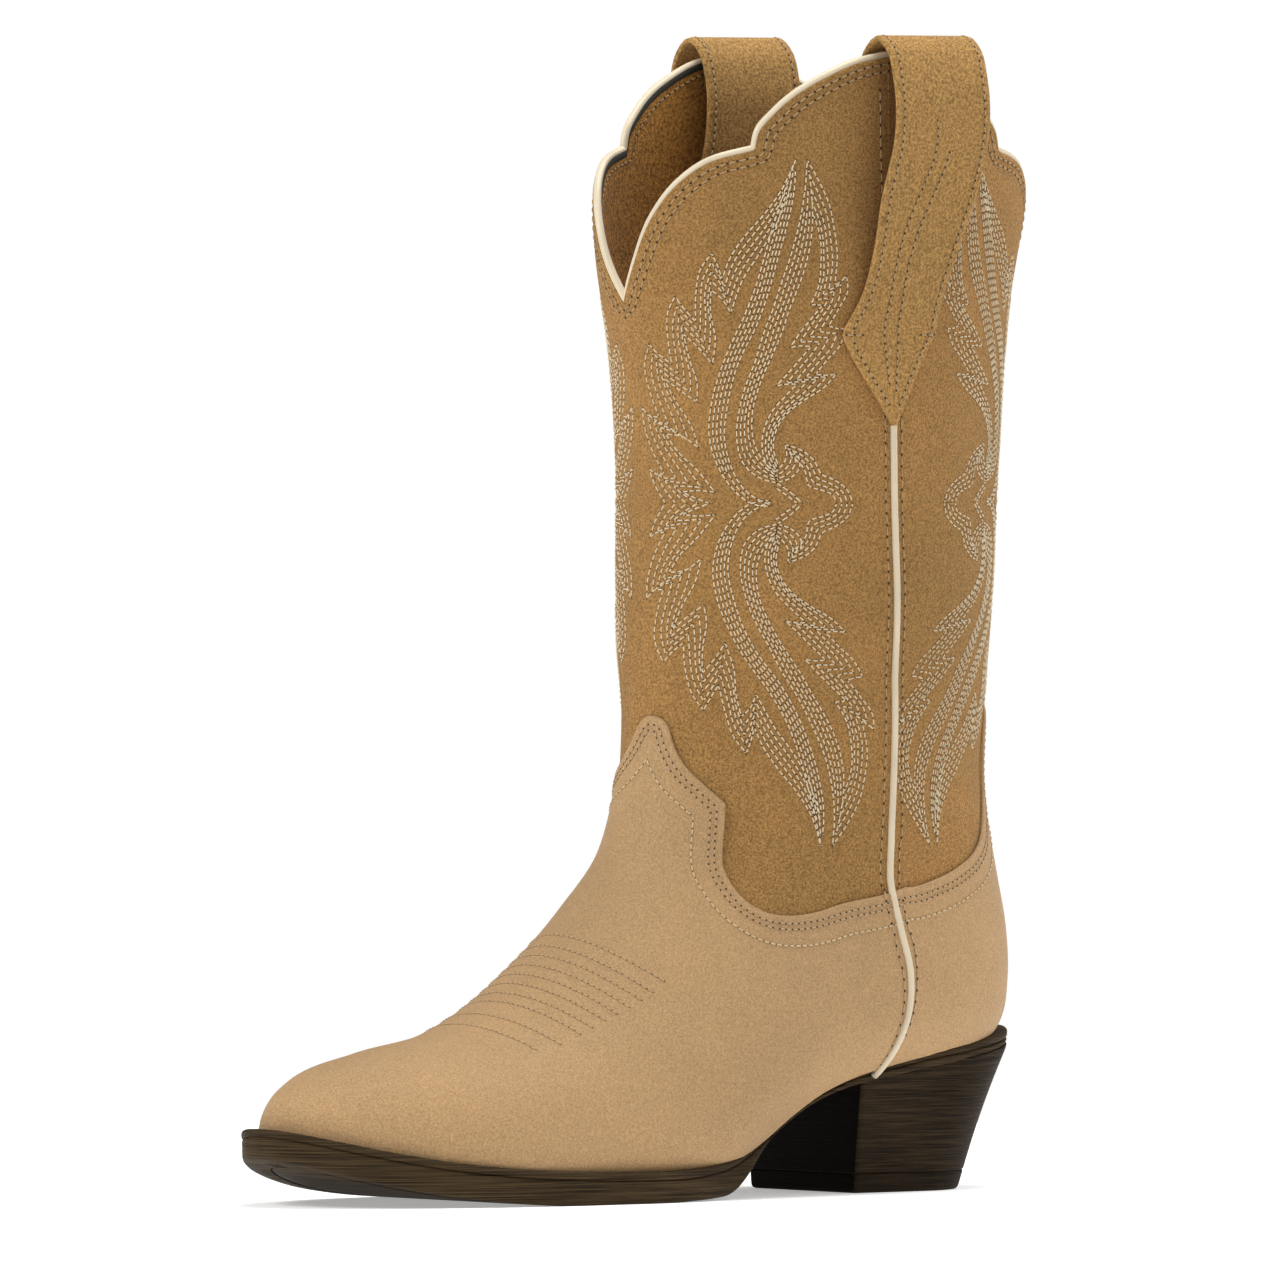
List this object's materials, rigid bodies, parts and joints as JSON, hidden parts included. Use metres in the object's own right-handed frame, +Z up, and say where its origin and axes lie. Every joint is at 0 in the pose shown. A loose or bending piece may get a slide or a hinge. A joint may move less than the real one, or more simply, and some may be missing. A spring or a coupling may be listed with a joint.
{
  "type": "cowboy boot",
  "caption": "Pull-on western boot for the left foot: suede shaft with a scalloped top, pull straps and side piping, pointed toe, welted sole and underslung heel.",
  "frame": {"origin": "centre of the footprint of the whole boot's box, on the floor that the heel and tread stand on", "axes": "+Z up, toe towards -Y, +X towards the outer side of the foot"},
  "size_m": [0.1062, 0.2856, 0.3558],
  "materials": {
    "shaft_suede": "brushed suede, tan",
    "foot_suede": "brushed suede, light tan",
    "strap_suede": "brushed suede, tan",
    "lining_leather": "napped, dark brown",
    "piping": "smooth, off-white",
    "board": "pressed fibre board",
    "stiffener": "resin-stiffened felt",
    "sock": "smooth, brown",
    "foam": "latex foam",
    "cork": "granulated cork",
    "sole_edge": "dark brown, fine grain lines",
    "heel_stack": "stacked leather look, dark brown",
    "top_lift": "matte, black-brown",
    "steel": "plain"
  },
  "bodies": {
    "boot": {"vamp": "foot_suede", "heel_cover": "foot_suede", "shaft_front": "shaft_suede", "shaft_back": "shaft_suede", "toe_puff": "stiffener", "vamp_interlining": "stiffener", "heel_stiffener": "stiffener", "vamp_lining": "lining_leather", "shaft_lining_front": "lining_leather", "shaft_lining_back": "lining_leather", "top_binding_front": "piping", "top_binding_back": "piping", "side_piping_outer": "piping", "side_piping_inner": "piping", "pull_strap_outer_outside_end": "strap_suede", "pull_strap_outer_inside_end": "strap_suede", "pull_strap_inner_outside_end": "strap_suede", "pull_strap_inner_inside_end": "strap_suede", "heel_nails": "steel", "top_lift_brads": "steel", "shank_rivets": "steel", "shank": "steel", "welt": "sole_edge", "cork_filler": "cork", "outsole": "sole_edge", "heel_block": "heel_stack", "top_lift": "top_lift", "insole_board": "board", "heel_pad": "foam", "sock_liner": "sock"},
    "outer_strap_loop": {"pull_strap_outer_loop": "strap_suede"},
    "inner_strap_loop": {"pull_strap_inner_loop": "strap_suede"}
  },
  "joints": [
    {"name": "outer_strap_pull", "type": "slide", "parent": "boot", "child": "outer_strap_loop", "axis": [0, 0, 1], "range_m": [0, 0.005]},
    {"name": "inner_strap_pull", "type": "slide", "parent": "boot", "child": "inner_strap_loop", "axis": [0, 0, 1], "range_m": [0, 0.005]}
  ]
}
